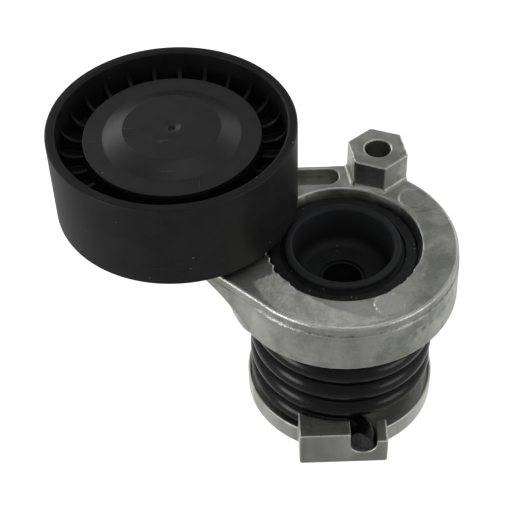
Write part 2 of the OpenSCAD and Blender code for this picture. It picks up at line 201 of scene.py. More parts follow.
def surface_nets(d, low, step):
    """Points and quads on the zero level of the samples d: one point in each cell that it crosses."""
    inside, cells = d < 0, np.array(d.shape) - 1
    corner_ids, crossings = [], []
    for a in range(3):
        u, v = (a + 1) % 3, (a + 2) % 3
        here, there = [slice(None)] * 3, [slice(None)] * 3
        here[a], there[a] = slice(0, -1), slice(1, None)
        at = np.argwhere(inside[tuple(here)] != inside[tuple(there)])
        beyond = at.copy()
        beyond[:, a] += 1
        d0, d1 = d[tuple(at.T)], d[tuple(beyond.T)]
        cross = at.astype(float)
        cross[:, a] += d0 / (d0 - d1)
        ring = []
        for du, dv in ((-1, -1), (0, -1), (0, 0), (-1, 0)):
            c = at.copy()
            c[:, u] += du
            c[:, v] += dv
            ring.append(np.ravel_multi_index(c.T, cells))
        ring = np.stack(ring, 1)
        out = d0 >= 0
        ring[out] = ring[out][:, ::-1]
        corner_ids.append(ring)
        crossings.append(cross)
    ids, cross = np.concatenate(corner_ids), np.concatenate(crossings)
    quads = np.unique(ids.ravel(), return_inverse=True)[1].reshape(-1, 4)
    flat = quads.ravel()
    points = np.stack([np.bincount(flat, np.repeat(cross[:, k], 4)) for k in range(3)], 1)
    return points / np.bincount(flat)[:, None] * step + low, quads


def gradient(field, co, h=0.015):
    return np.stack([field(*(co + e).T) - field(*(co - e).T) for e in np.eye(3) * h], 1) / (2 * h)


def skin(field, low, high, step):
    """Fine mesh of a field's surface in a box: points, quads, normals, and how sharply each bulges."""
    start = np.array(low, float) - 1.5 * step
    axes = [np.arange(s, h + 2 * step, step) for s, h in zip(start, high)]
    samples = field(*np.meshgrid(*axes, indexing="ij", sparse=True))
    co, quads = surface_nets(samples, start, step)
    for _ in range(5):
        g = gradient(field, co)
        move = field(*co.T)[:, None] * g / np.maximum((g * g).sum(1), 0.3)[:, None]
        co -= np.clip(move, -step / 2, step / 2)
    g = gradient(field, co)
    normals = g / np.maximum(np.linalg.norm(g, axis=1), 1e-6)[:, None]
    h = 0.35
    bulge = sum(field(*(co + e).T) + field(*(co - e).T) for e in np.eye(3) * h) - 6 * field(*co.T)
    return co, quads, normals, bulge / (h * h)


# ---------------------------------------------------------------- meshes

def weld(co, quads, normals, values=None):
    """Joins points at the same place: an axis point shared by a whole ring becomes one."""
    _, first, to = np.unique(np.round(co, 5), axis=0, return_index=True, return_inverse=True)
    quads = to.ravel()[quads]
    return (co[first], quads, normals[first]) + (() if values is None else (values[first],))


def build(name, co, quads, normals, body, node, slot, material, **marks):
    """Object from points in millimetres, with its normals and point values, in place of a CAD node."""
    corner = quads != np.roll(quads, 1, axis=1)
    count = corner.sum(1)
    quads, corner, count = quads[count > 2], corner[count > 2], count[count > 2]
    mesh = bpy.data.meshes.new(name)
    mesh.vertices.add(len(co))
    mesh.vertices.foreach_set("co", (co * MM).astype(np.float32).ravel())
    mesh.loops.add(int(count.sum()))
    mesh.loops.foreach_set("vertex_index", quads[corner].astype(np.int32))
    mesh.polygons.add(len(count))
    mesh.polygons.foreach_set("loop_start", (np.cumsum(count) - count).astype(np.int32))
    mesh.update(calc_edges=True)
    mesh.validate()
    mesh.shade_smooth()
    mesh.normals_split_custom_set_from_vertices(np.asarray(normals, float).tolist())
    for key, values in marks.items():
        layer = mesh.attributes.new(key, "FLOAT", "POINT")
        layer.data.foreach_set("value", np.asarray(values, np.float32))
    mesh.materials.append(material)
    o = bpy.data.objects.new(name, mesh)
    bpy.context.scene.collection.objects.link(o)
    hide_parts(node)
    if body:
        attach(o, body)
    return o


def rounded(corners, arc=7):
    """Closed outline (points, outward normals) through corners (r, z, rounding radius), anticlockwise."""
    points, normals = [], []
    count = len(corners)
    for i, (x, y, radius) in enumerate(corners):
        p = np.array((x, y), float)
        back = np.array(corners[i - 1][:2], float) - p
        on = np.array(corners[(i + 1) % count][:2], float) - p
        ub, uo = back / np.linalg.norm(back), on / np.linalg.norm(on)
        n0, n1 = np.array((-ub[1], ub[0])), np.array((uo[1], -uo[0]))
        convex = -ub[0] * uo[1] + ub[1] * uo[0] > 0
        if radius <= 0:
            points.append(p)
            normals.append(n1 if abs(n1[1]) > 0.99 else n0)
            continue
        half = 0.5 * math.acos(max(-1, min(1, float(ub @ uo))))
        mid = (ub + uo) / np.linalg.norm(ub + uo)
        centre = p + mid * radius / math.sin(half)
        a0 = math.atan2(*(p + ub * radius / math.tan(half) - centre)[::-1])
        a1 = math.atan2(*(p + uo * radius / math.tan(half) - centre)[::-1])
        sweep = (a1 - a0 + math.pi) % math.tau - math.pi
        for k in range(arc):
            a = a0 + sweep * k / (arc - 1)
            d = np.array((math.cos(a), math.sin(a)))
            points.append(centre + radius * d)
            normals.append(d if convex else -d)
    return np.array(points), np.array(normals)


def revolve(outline, segments, centre=(0.0, 0.0)):
    """Points, quads and normals of a closed outline turned about a vertical axis."""
    points, normals = outline
    a = np.arange(segments) * math.tau / segments
    c, s = np.cos(a)[:, None], np.sin(a)[:, None]
    r, z = points[:, 0][None], points[:, 1][None]
    co = np.stack([centre[0] + r * c, centre[1] + r * s, z + 0 * c], -1)
    no = np.stack([normals[:, 0] * c, normals[:, 0] * s, normals[:, 1] + 0 * c], -1)
    n = len(points)
    i, k = np.meshgrid(np.arange(segments), np.arange(n), indexing="ij")
    i1, k1 = (i + 1) % segments, (k + 1) % n
    quads = np.stack([i * n + k, i1 * n + k, i1 * n + k1, i * n + k1], -1).reshape(-1, 4)
    return weld(co.reshape(-1, 3), quads, no.reshape(-1, 3))


def joined(*parts):
    """Several (points, quads, normals) as one."""
    start, quads = 0, []
    for co, q, _ in parts:
        quads.append(np.asarray(q) + start)
        start += len(co)
    return np.concatenate([p[0] for p in parts]), np.concatenate(quads), np.concatenate([p[2] for p in parts])


# ---------------------------------------------------------------- materials

class Paint:
    """A Principled material and the few node steps that the finishes below are made of, in millimetres."""

    def __init__(self, name):
        self.material = bpy.data.materials.new(name)
        self.material.use_nodes = True
        self.nodes, self.links = self.material.node_tree.nodes, self.material.node_tree.links
        self.shader = next(n for n in self.nodes if n.type == "BSDF_PRINCIPLED")
        scale = self.node("ShaderNodeVectorMath", operation="SCALE")
        scale.inputs["Scale"].default_value = 1 / MM
        self.links.new(self.node("ShaderNodeTexCoord").outputs["Object"], scale.inputs[0])
        self.mm = scale.outputs[0]

    def node(self, kind, **settings):
        n = self.nodes.new(kind)
        for key, value in settings.items():
            setattr(n, key, value)
        return n

    def feed(self, socket, value):
        if isinstance(value, bpy.types.NodeSocket):
            self.links.new(value, socket)
        elif isinstance(value, (tuple, list)) and len(value) == 3 and len(socket.default_value) == 4:
            socket.default_value = (*value, 1)
        else:
            socket.default_value = value

    def set(self, **values):
        for key, value in values.items():
            self.feed(self.shader.inputs[key.replace("_", " ")], value)

    def math(self, operation, a, b=0.0, clamp=False):
        n = self.node("ShaderNodeMath", operation=operation, use_clamp=clamp)
        self.feed(n.inputs[0], a)
        self.feed(n.inputs[1], b)
        return n.outputs[0]

    def stretched(self, x=1, y=1, z=1, at=(0, 0, 0)):
        n = self.node("ShaderNodeMapping")
        n.inputs["Scale"].default_value = (x, y, z)
        n.inputs["Location"].default_value = at
        self.links.new(self.mm, n.inputs["Vector"])
        return n.outputs[0]

    def noise(self, size, detail=3.0, rough=0.55, where=None, warp=0.0):
        """Noise between 0 and 1 whose features are about size millimetres across."""
        n = self.node("ShaderNodeTexNoise")
        n.inputs["Scale"].default_value = 1 / size
        n.inputs["Detail"].default_value = detail
        n.inputs["Roughness"].default_value = rough
        n.inputs["Distortion"].default_value = warp
        self.links.new(where or self.mm, n.inputs["Vector"])
        return n.outputs["Fac"]

    def specks(self, size, radius):
        """1 within radius, as a share of the cell, of scattered points size millimetres apart."""
        n = self.node("ShaderNodeTexVoronoi")
        n.inputs["Scale"].default_value = 1 / size
        self.links.new(self.mm, n.inputs["Vector"])
        pick = self.math("GREATER_THAN", self.part(n.outputs["Color"], 0), 0.5)
        return self.math("MULTIPLY", self.step(n.outputs["Distance"], radius, radius * 0.5), pick)

    def step(self, value, low, high):
        """0 at low, 1 at high, smooth between."""
        n = self.node("ShaderNodeMapRange", interpolation_type="SMOOTHSTEP")
        self.feed(n.inputs["Value"], value)
        n.inputs["From Min"].default_value = low
        n.inputs["From Max"].default_value = high
        return n.outputs["Result"]

    def span(self, value, low, high):
        """Maps 0..1 to low..high."""
        n = self.node("ShaderNodeMapRange")
        self.feed(n.inputs["Value"], value)
        n.inputs["To Min"].default_value = low
        n.inputs["To Max"].default_value = high
        return n.outputs["Result"]

    def mix(self, share, a, b):
        n = self.node("ShaderNodeMix", data_type="RGBA")
        self.feed(n.inputs["Factor"], share)
        self.feed(n.inputs[6], a)
        self.feed(n.inputs[7], b)
        return n.outputs[2]

    def part(self, vector, index):
        n = self.node("ShaderNodeSeparateXYZ")
        self.links.new(vector, n.inputs[0])
        return n.outputs[index]

    def streak(self, a, b, width):
        """1 along the line between two points of the deck, fading out across width and at its ends."""
        a, b = Vector((*a, 0)), Vector((*b, 0))
        way = (b - a).normalized()
        spans = []
        for axis, reach, fade in ((way, (b - a).length / 2, 1.2), (Vector((-way.y, way.x, 0)), 0, width)):
            n = self.node("ShaderNodeVectorMath", operation="DOT_PRODUCT")
            self.links.new(self.mm, n.inputs[0])
            n.inputs[1].default_value = axis
            away = self.math("ABSOLUTE", self.math("SUBTRACT", n.outputs["Value"], axis.dot((a + b) / 2)))
            spans.append(self.step(away, reach + fade, reach))
        return self.math("MULTIPLY", *spans)

    def mark(self, name):
        return self.node("ShaderNodeAttribute", attribute_name=name).outputs["Fac"]

    def bumps(self, *layers):
        """Bump from (height, strength, depth in mm) layers, the first one lowest."""
        normal = None
        for height, strength, depth in layers:
            n = self.node("ShaderNodeBump")
            n.inputs["Strength"].default_value = strength
            n.inputs["Distance"].default_value = depth * MM
            self.links.new(height, n.inputs["Height"])
            if normal is not None:
                self.links.new(normal, n.inputs["Normal"])
            normal = n.outputs["Normal"]
        self.links.new(normal, self.shader.inputs["Normal"])
        return self.material


def cast_aluminium(name, marked):
    """As-cast alloy: cool grey with warm and green mottling, fine grain, flow marks, convex edges lightened
    as rubbed metal and as painted highlight.
    """
    p = Paint(name)
    broad = p.noise(9, 4, 0.6, warp=0.8)
    blotch = p.noise(2.6, 5, 0.65, warp=0.5)
    grain = p.noise(0.45, 3, 0.6)
    pits = p.specks(1.5, 0.13)
    tone = p.mix(p.step(broad, 0.38, 0.62), (0.42, 0.437, 0.385), (0.64, 0.645, 0.595))
    tone = p.mix(p.math("MULTIPLY", p.step(blotch, 0.45, 0.7), 0.6), tone, (0.36, 0.38, 0.325))
    tone = p.mix(p.math("MULTIPLY", p.step(grain, 0.52, 0.75), 0.3), tone, (0.70, 0.70, 0.66))
    tone = p.mix(p.math("MULTIPLY", pits, 0.4), tone, (0.16, 0.165, 0.145))
    scuff = p.noise(0.5, 2, 0.5, where=p.stretched(1, 0.06, 1))
    tone = p.mix(p.math("MULTIPLY", p.step(scuff, 0.66, 0.74), 0.25), tone, (0.75, 0.75, 0.71))
    rough = p.span(blotch, 0.33, 0.47)
    # Convex edges lightened by how sharply they bulge: partly rubbed bare metal, partly painted highlight.
    edge = p.step(p.mark("edge"), 0.35, 1.3)
    tone = p.mix(p.math("MULTIPLY", edge, p.span(blotch, 0.3, 0.9)), tone, (0.86, 0.86, 0.82))
    height = p.noise(0.9, 4, 0.6)
    layers = [(broad, 0.5, 0.35), (height, 0.45, 0.16), (grain, 0.5, 0.07)]
    if not marked:
        # Base alloy lighter overall than the arm's: painted light on the base's walls.
        tone = p.mix(0.45, tone, (0.92, 0.92, 0.88))
        # Painted shade on the front faces of the tab.
        tone = p.mix(p.math("MULTIPLY", p.mark("front"), 0.62), tone, (0.30, 0.31, 0.275))
    else:
        dots = p.step(p.noise(1.4, 3, 0.6, warp=1), 0.25, 0.6)
        seam = p.math("MULTIPLY", p.mark("seam"), dots)
        tone = p.mix(p.math("MULTIPLY", seam, 0.85), tone, (0.13, 0.135, 0.12))
        stain = p.math("MULTIPLY", p.mark("stain"), p.span(blotch, 0.35, 0.95))
        tone = p.mix(stain, tone, (0.22, 0.22, 0.19))
        # Painted shade inside the bore.
        tone = p.mix(p.math("MULTIPLY", p.mark("bore"), 0.8), tone, (0.12, 0.125, 0.115))
        ground = p.mark("ground")
        torn = p.noise(2.2, 4, 0.6, warp=0.8)
        fresh = p.mix(p.step(torn, 0.36, 0.6), (0.80, 0.81, 0.74), (1.0, 1.0, 0.93))
        tone = p.mix(p.math("MULTIPLY", p.mark("front"), 0.5), tone, (0.85, 0.86, 0.80))
        tone = p.mix(ground, tone, fresh)
        tone = p.mix(p.math("MULTIPLY", p.mark("disc"), 0.45), tone, (0.95, 0.955, 0.90))
        rough = p.math("ADD", rough, p.math("MULTIPLY", ground, 0.16))
        for start, end, width in DECK_SCRATCHES:
            share = p.math("MULTIPLY", p.streak(start, end, width), p.span(grain, 0.0, 0.75))
            tone = p.mix(share, tone, (0.16, 0.165, 0.15))
        tone = p.mix(p.mark("lip"), tone, (0.98, 0.98, 0.94))
        layers.append((p.math("MULTIPLY", torn, ground), 0.4, 0.2))
    drift = p.noise(11, 3, 0.5, where=p.stretched(1, 1, 0.35, (5, 0, 0)), warp=0.5)
    tone = p.mix(p.math("MULTIPLY", p.step(drift, 0.42, 0.66), 0.5), tone, (0.86, 0.865, 0.80))
    tone = p.mix(p.math("MULTIPLY", p.step(drift, 0.46, 0.3), 0.4), tone, (0.33, 0.345, 0.30))
    p.set(Base_Color=tone, Metallic=1.0, Roughness=rough, IOR=1.5)
    return p.bumps(*layers)


def moulded_black(name, base, light, rough):
    """Glass-filled black plastic: faint cloudiness, fine grain, a few light scuffs and dust."""
    p = Paint(name)
    cloud = p.noise(7, 4, 0.6, warp=0.4)
    grain = p.noise(0.35, 3, 0.65)
    tone = p.mix(p.step(cloud, 0.3, 0.72), base, light)
    tone = p.mix(p.math("MULTIPLY", p.step(grain, 0.55, 0.8), 0.3), tone, tuple(3 * c for c in light))
    scuff = p.noise(0.8, 3, 0.6, where=p.stretched(0.08, 0.08, 1.1))
    tone = p.mix(p.math("MULTIPLY", p.step(scuff, 0.62, 0.72), 0.12), tone, (0.09, 0.092, 0.09))
    dust = p.specks(5.5, 0.05)
    tone = p.mix(p.math("MULTIPLY", dust, 0.8), tone, (0.32, 0.32, 0.3))
    rough = p.math("ADD", p.span(cloud, rough - 0.06, rough + 0.06), p.math("MULTIPLY", scuff, 0.08))
    p.set(Base_Color=tone, Roughness=rough, IOR=1.36)
    return p.bumps((cloud, 0.2, 0.1), (grain, 0.35, 0.03))


def cap_plastic():
    """Satin dust cap: even dark grey, hair-fine handling scratches and stray dust."""
    p = Paint("cap_plastic_look")
    cloud = p.noise(5, 4, 0.6)
    grain = p.noise(0.4, 2, 0.6)
    tone = p.mix(p.step(cloud, 0.3, 0.7), (0.0155, 0.017, 0.0152), (0.0215, 0.0235, 0.0208))
    ways = (1.2, 0.05, 1), (0.07, 1, 1)
    hairs = [p.step(p.noise(0.7, 2, 0.5, where=p.stretched(*way)), 0.67, 0.72) for way in ways]
    hair = p.math("MULTIPLY", p.math("MAXIMUM", *hairs), p.step(p.noise(9, 1), 0.5, 0.62))
    tone = p.mix(p.math("MULTIPLY", hair, 0.5), tone, (0.11, 0.11, 0.105))
    tone = p.mix(p.math("MULTIPLY", p.specks(6.5, 0.045), 0.9), tone, (0.42, 0.42, 0.4))
    p.set(Base_Color=tone, Roughness=p.span(cloud, 0.36, 0.46), IOR=1.5)
    return p.bumps((cloud, 0.25, 0.12), (grain, 0.35, 0.025))


def spring_lacquer():
    """Thick black lacquer on wound wire: orange peel, small pits and dust, bare metal at the cut ends."""
    p = Paint("spring_lacquer_look")
    peel = p.noise(1.3, 3, 0.5)
    cloud = p.noise(6, 4, 0.6)
    tone = p.mix(cloud, (0.003, 0.003, 0.0034), (0.007, 0.007, 0.0075))
    tone = p.mix(p.math("MULTIPLY", p.specks(3.2, 0.06), 0.7), tone, (0.16, 0.16, 0.15))
    chip = p.math("MULTIPLY", p.step(p.noise(2.2, 4, 0.7, warp=1), 0.70, 0.74), 0.6)
    tone = p.mix(chip, tone, (0.10, 0.10, 0.095))
    cut = p.mark("cut")
    face = p.mix(p.step(p.noise(0.8, 4, 0.6), 0.4, 0.6), (0.045, 0.046, 0.044), (0.085, 0.085, 0.08))
    rough = p.span(cut, 0.2, 0.55)
    p.set(Base_Color=p.mix(cut, tone, face), Metallic=p.math("MULTIPLY", cut, 0.7),
          Roughness=p.math("ADD", rough, p.math("MULTIPLY", peel, 0.1)), IOR=1.42)
    return p.bumps((peel, 0.3, 0.12), (p.noise(0.3, 2), 0.25, 0.02))


def coated_steel():
    """Drawn steel cup under a thin black coat, with drawing marks and grit."""
    p = Paint("black_coated_steel_look")
    cloud = p.noise(3.5, 4, 0.6)
    draw = p.noise(1.2, 3, 0.6, where=p.stretched(1, 1, 0.12))
    tone = p.mix(cloud, (0.017, 0.018, 0.020), (0.036, 0.037, 0.040))
    tone = p.mix(p.math("MULTIPLY", p.specks(2.7, 0.07), 0.75), tone, (0.26, 0.26, 0.25))
    p.set(Base_Color=tone, Roughness=p.span(draw, 0.48, 0.62), IOR=1.33)
    return p.bumps((draw, 0.3, 0.06), (p.noise(0.4, 3), 0.35, 0.03))


def grease_dark_ring():
    """Friction ring: dull black plastic with metal dust pressed into it."""
    p = Paint("friction_plastic_look")
    cloud = p.noise(4, 5, 0.65, warp=0.6)
    grit = p.math("MULTIPLY", p.specks(1.35, 0.2), p.step(p.noise(7, 2), 0.42, 0.55))
    tone = p.mix(p.step(cloud, 0.3, 0.7), (0.010, 0.011, 0.012), (0.025, 0.026, 0.026))
    tone = p.mix(p.math("MULTIPLY", grit, 0.8), tone, (0.34, 0.34, 0.32))
    p.set(Base_Color=tone, Roughness=p.span(cloud, 0.46, 0.62), IOR=1.4)
    return p.bumps((cloud, 0.4, 0.2), (p.noise(0.5, 3), 0.4, 0.04))


def steel(name, dark, light, rough, metallic=0.9):
    """Turned or plated steel: faint rings of tool marks, cloudy tone, pin-head stains."""
    p = Paint(name)
    cloud = p.noise(4, 4, 0.6)
    tool = p.noise(0.35, 2, 0.5, where=p.stretched(0.25, 0.25, 1.6))
    tone = p.mix(p.step(cloud, 0.3, 0.7), dark, light)
    tone = p.mix(p.math("MULTIPLY", p.specks(2.6, 0.09), 0.35), tone, (0.12, 0.11, 0.10))
    rough = p.math("ADD", p.span(cloud, rough - 0.05, rough + 0.05), p.math("MULTIPLY", tool, 0.1))
    p.set(Base_Color=tone, Metallic=metallic, Roughness=rough, IOR=1.5)
    return p.bumps((tool, 0.3, 0.03), (cloud, 0.2, 0.05))


def polymer(name, dark, light, rough):
    """Plain moulded or sintered bearing material, slightly cloudy and grainy."""
    p = Paint(name)
    cloud, grain = p.noise(3, 4, 0.6), p.noise(0.4, 3, 0.6)
    tone = p.mix(p.step(cloud, 0.3, 0.7), dark, light)
    tone = p.mix(p.math("MULTIPLY", p.step(grain, 0.55, 0.75), 0.3), tone, dark)
    p.set(Base_Color=tone, Roughness=p.span(grain, rough - 0.06, rough + 0.06), IOR=1.47)
    return p.bumps((cloud, 0.2, 0.08), (grain, 0.35, 0.03))


# ---------------------------------------------------------------- pieces

def ground_patch(x, y):
    """(share of the ground crescent at the front of the arm's deck, how near its torn left border)."""
    r, az = np.hypot(x, y), degrees_from(x, y, -120)
    inner = 20.9 + 7.2 * np.clip((az + 140) / 65, 0, 2) ** 2
    outer = 29.6 - 1.2 * ((az + 105) / 35) ** 2
    inset = np.minimum(np.minimum(r - inner, outer - r), np.minimum((az + 151) * 0.45, (-71 - az) * 0.45))
    inset = inset + 0.35 * ripple(x, y, 3.0, 11) + 0.22 * ripple(x, y, 1.3, 12)
    lip = smooth(inset, -0.35, 0.0) * (1 - smooth(inset, 0.35, 0.9)) * (1 - smooth(az, -118, -90))
    return smooth(inset, -0.15, 0.25), lip


def skirt_stains(co, wall):
    """A short row of round dark stains low on the right of the skirt, as left by trapped gas in the mould."""
    az, spots = degrees_from(co[:, 0], co[:, 1], -90), 0
    for k in range(7):
        across = (az + 26 + 5.2 * k) * 0.53
        spots = spots + 1 - smooth(np.hypot(across, co[:, 2] - 49.6 + 0.25 * k), 0.3 + 0.08 * (k % 3), 1.15)
    return wall * np.clip(spots, 0, 1)


def make_arm(material):
    step = 0.45
    co, quads, normals, bulge = skin(arm_field, (-57.2, -31, 41), (31, 36.2, 64.4), step)
    top = (co[:, 2] > ARM_TOP - 0.4) & (normals[:, 2] > 0.7) & (co[:, 2] < ARM_TOP + 0.1)
    patch, lip = ground_patch(co[:, 0], co[:, 1])
    patch, lip = patch * top, lip * top
    co[:, 2] += 0.04 * patch + 0.07 * lip
    mark_x, mark_y = EJECTOR_MARKS[1]
    disc = top * (1 - smooth(np.hypot(co[:, 0] - mark_x, co[:, 1] - mark_y), 3.2, 3.8))
    wall = (np.hypot(co[:, 0], co[:, 1]) > 29) & (normals[:, 2] < 0.5)
    seam = wall * (1 - smooth(np.abs(co[:, 2] - PART_LINE), 0.1, 0.5))
    # Points inside the bore, below the deck, for the painted shade there.
    inside = (np.hypot(co[:, 0], co[:, 1]) < 21.2) * smooth(ARM_TOP - co[:, 2], 0.1, 0.5)
    front = top * smooth(-co[:, 1], 4, 22) * (1 - smooth(co[:, 0], 8, 16))
    return build("arm_body", co, quads, normals, "arm", "arm_casting", "cast_aluminium", material,
                 edge=bulge * (1 - seam), ground=patch, lip=lip, disc=disc, seam=seam,
                 stain=skirt_stains(co, wall), front=front, bore=inside)


def make_base(material):
    step = 0.36
    co, quads, normals, bulge = skin(base_field, (-26.4, -30.9, 0), (26.4, 26.4, 12.8), step)
    # Faces of the tab that point to the front, for the painted shade on them.
    front = smooth(-normals[:, 1], 0.8, 0.97) * (co[:, 1] < TAB_Y + 1)
    return build("base_body", co, quads, normals, "base", "base_housing", "cast_aluminium", material,
                 edge=bulge, front=front)


def rib(turn, foot_z, height, up):
    """One radial rib: stations from hub to rim, each a section with a flared foot and rounded top."""
    bend = np.sin(np.linspace(0.12, 1, 9) * math.pi / 2)
    radii = np.concatenate([np.linspace(HUB_OUT - 0.25, RIM_IN - RIB_RISE, 6),
                            RIM_IN - RIB_RISE + RIB_RISE * bend + 0.04])
    a = np.linspace(0, math.pi / 2, 4)
    foot = [(RIB_HALF + 0.45 * (1 - math.sin(t)), 0.45 * (1 - math.cos(t)) - 0.05) for t in a]
    top = [(RIB_HALF - 0.3 + 0.3 * math.cos(t), -0.3 + 0.3 * math.sin(t)) for t in a]
    rows = []
    for r in radii:
        h = height(r)
        side = [(s, v) for s, v in foot] + [(s, h + v) for s, v in top]
        section = side + [(-s, v) for s, v in reversed(side)]
        rows.append([(r, s, foot_z + up * v) for s, v in section])
    g = np.array(rows)
    du, dv = np.gradient(g, axis=0), np.gradient(g, axis=1)
    n = np.cross(dv, du) * up
    n /= np.maximum(np.linalg.norm(n, axis=-1), 1e-9)[..., None]
    c, s = math.cos(turn), math.sin(turn)
    spin = np.array(((c, s, 0), (-s, c, 0), (0, 0, 1)))
    g, n = g @ spin, n @ spin
    rows, cols = g.shape[:2]
    i, k = np.meshgrid(np.arange(rows - 1), np.arange(cols), indexing="ij")
    at, beside = i * cols + k, i * cols + (k + 1) % cols
    k = np.arange(cols // 2 - 1)
    end = np.stack([k, k + 1, cols - 2 - k, cols - 1 - k], -1)
    quads = np.concatenate([np.stack([at, at + cols, beside + cols, beside], -1).reshape(-1, 4),
                            end, end[:, ::-1] + (rows - 1) * cols])
    if up > 0:
        quads = quads[:, ::-1]
    return g.reshape(-1, 3) + (PULLEY_X, PULLEY_Y, 0), quads, n.reshape(-1, 3)


def rib_height(r):
    rise = RIB_RISE - math.sqrt(max(RIB_RISE ** 2 - max(r - RIM_IN + RIB_RISE, 0) ** 2, 0))
    return RIB_TOP - WEB_TOP + min(rise, RIB_RISE)


def make_pulley(material):
    outline = rounded([
        (RIM_IN, FACE_Z0, 0.7), (RIM_OUT, FACE_Z0, 0.7), (RIM_OUT, FACE_Z1, 0.7), (RIM_IN, FACE_Z1, 0.8),
        (RIM_IN, WEB_TOP, 0.8), (HUB_OUT, WEB_TOP, 0.8), (HUB_OUT, HUB_TOP, 0.3), (HUB_IN, HUB_TOP, 0.2),
        (HUB_IN, 75.3, 0.15), (18.8, 75.3, 0.2), (18.8, 74.5, 0.2), (20, 74.5, 0.1), (20, 62.5, 0.1),
        (18.8, 62.5, 0.2), (18.8, 61.7, 0.2), (HUB_OUT, 61.7, 0.3), (HUB_OUT, WEB_LOW, 0.8),
        (RIM_IN, WEB_LOW, 0.8)])
    parts = [revolve(outline, 260, (PULLEY_X, PULLEY_Y))]
    for i in range(RIB_COUNT):
        turn = math.radians(RIB_START + i * 360 / RIB_COUNT)
        parts.append(rib(turn, WEB_TOP, rib_height, 1))
        parts.append(rib(turn, WEB_LOW, lambda r: WEB_LOW - 62.7, -1))
    co, quads, normals = joined(*parts)
    return build("pulley_wheel", co, quads, normals, "pulley", "pulley", "pulley_plastic", material)


def make_cap(material):
    z = HUB_TOP + 0.8
    outline = rounded([
        (HUB_OUT, HUB_TOP, 0.15), (HUB_OUT, z, 0.35), (18, z, 1.2), (12.75, z + 2.5, 1.0),
        (2.45, z + 2.5, 0.3), (1.05, z + 2.1, 0.15), (0.75, z + 1.5, 0.1), (0, z + 1.45, 0),
        (0, z + 1.1, 0), (12.35, z + 1.6, 0.4), (17.4, HUB_TOP, 0.3), (19.5, HUB_TOP, 0.3),
        (19.5, 76.3, 0.2), (20.28, 76.3, 0.2), (20.28, HUB_TOP, 0.1)])
    co, quads, normals = revolve(outline, 224, (PULLEY_X, PULLEY_Y))
    return build("dust_cap_shell", co, quads, normals, "pulley", "dust_cap", "cap_plastic", material)


def make_cup(material):
    outline = rounded([
        (6, 42.4, 0.2), (13.45, 42.4, 3.4), (14.25, 53.45, 0.2), (15.5, 53.45, 0.7), (15.5, 55.4, 0.8),
        (13.35, 55.4, 0.9), (12.55, 43.3, 2.7), (6, 43.3, 0.35)])
    co, quads, normals = revolve(outline, 224)
    return build("cup_shell", co, quads, normals, "base", "retaining_cup", "black_coated_steel", material)


def make_thrust_ring(material):
    outline = rounded([
        (14.6, 51.5, 0.15), (19.5, 51.5, 0.15), (19.5, 53.4, 0.4), (16.6, 53.4, 0.25), (16.3, 52.7, 0.3),
        (15.3, 52.7, 0.3), (14.9, 53.2, 0.15), (14.6, 53.2, 0.1)])
    co, quads, normals = revolve(outline, 200)
    return build("thrust_ring_body", co, quads, normals, "arm", "thrust_ring", "friction_plastic", material)


def make_balls(material):
    a = np.linspace(-math.pi / 2, math.pi / 2, 25)
    normals = np.stack([np.cos(a), np.sin(a)], 1)
    points = normals * BALL_R + (0, BALL_Z)
    points[[0, -1], 0] = 0
    balls = []
    for k in range(BALL_COUNT):
        turn = k * math.tau / BALL_COUNT
        centre = PULLEY_X + BALL_RING_R * math.cos(turn), PULLEY_Y + BALL_RING_R * math.sin(turn)
        balls.append(revolve((points, normals), 40, centre))
    return build("bearing_ball_set", *joined(*balls), "ball_cage", "bearing_balls", "bearing_steel", material)


def spring_path():
    """Centre line in millimetres: leg bent out of the first coil, left-hand coils, upper leg bent out."""
    def polar(r, a):
        return np.array((r * math.cos(math.radians(a)), r * math.sin(math.radians(a))))
    start, bend_r, high = -91, 5.2, WIRE_Z + PITCH * TURNS
    c = polar(COIL_R + bend_r, start)
    path = [(*(c + polar(bend_r, start + 180 - 116 * i / 24)), WIRE_Z) for i in range(24, 0, -1)]
    per_turn = 90
    count = TURNS * per_turn
    for i in range(count + 1):
        t = i / per_turn
        path.append((*polar(COIL_R, start - 360 * t), WIRE_Z + PITCH * t))
    path += [(*(c + polar(bend_r, start + 180 + 45 * i / 10)), high) for i in range(1, 11)]
    last = np.array(path[-1])
    path += [tuple(last + np.array((*polar(2.0 * k / 3, start - 90 + 45), 0))) for k in (1, 2, 3)]
    return np.array(path, float)


def soften_heights(path):
    """Rounds the corner in height where the level legs meet the climbing coil."""
    z = path[:, 2].copy()
    for _ in range(3):
        z[1:-1] = (z[:-2] + 2 * z[1:-1] + z[2:]) / 4
    path[:, 2] = z
    return path


def make_spring(material):
    path, sides = soften_heights(spring_path()), 40
    t = np.gradient(path, axis=0)
    t /= np.linalg.norm(t, axis=1)[:, None]
    u = np.cross(t, (0, 0, 1))
    u /= np.linalg.norm(u, axis=1)[:, None]
    v = np.cross(u, t)
    a = np.arange(sides) * math.tau / sides
    ring = np.cos(a)[None, :, None] * u[:, None] + np.sin(a)[None, :, None] * v[:, None]
    ends = []
    for end, sign in ((0, -1), (-1, 1)):
        cap = []
        for share, back, face in WIRE_END:
            centre = path[end] + sign * t[end] * back
            n = ring[end] * (1 - face) + sign * t[end] * face
            cap.append((centre + ring[end] * WIRE_R * share, n, face == 1))
        ends.append(cap if end == 0 else cap[::-1])
    wound = [(path[i] + ring[i] * WIRE_R, ring[i], False) for i in range(1, len(path) - 1)]
    outs = ends[0] + wound + ends[1]
    co = np.concatenate([o[0] for o in outs])
    normals = np.concatenate([o[1] for o in outs])
    normals /= np.linalg.norm(normals, axis=1)[:, None]
    cut = np.repeat([float(o[2]) for o in outs], sides)
    i, k = np.meshgrid(np.arange(len(outs) - 1), np.arange(sides), indexing="ij")
    at, beside = i * sides + k, i * sides + (k + 1) % sides
    quads = np.stack([at, beside, beside + sides, at + sides], -1).reshape(-1, 4)
    quads = quads[:, ::-1] if spring_inside_out(co, quads, normals) else quads
    co, quads, normals, cut = weld(co, quads, normals, cut)
    o = build("spring_wire", co, quads, normals, None, "torsion_spring", "spring_lacquer", material, cut=cut)
    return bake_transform(o)


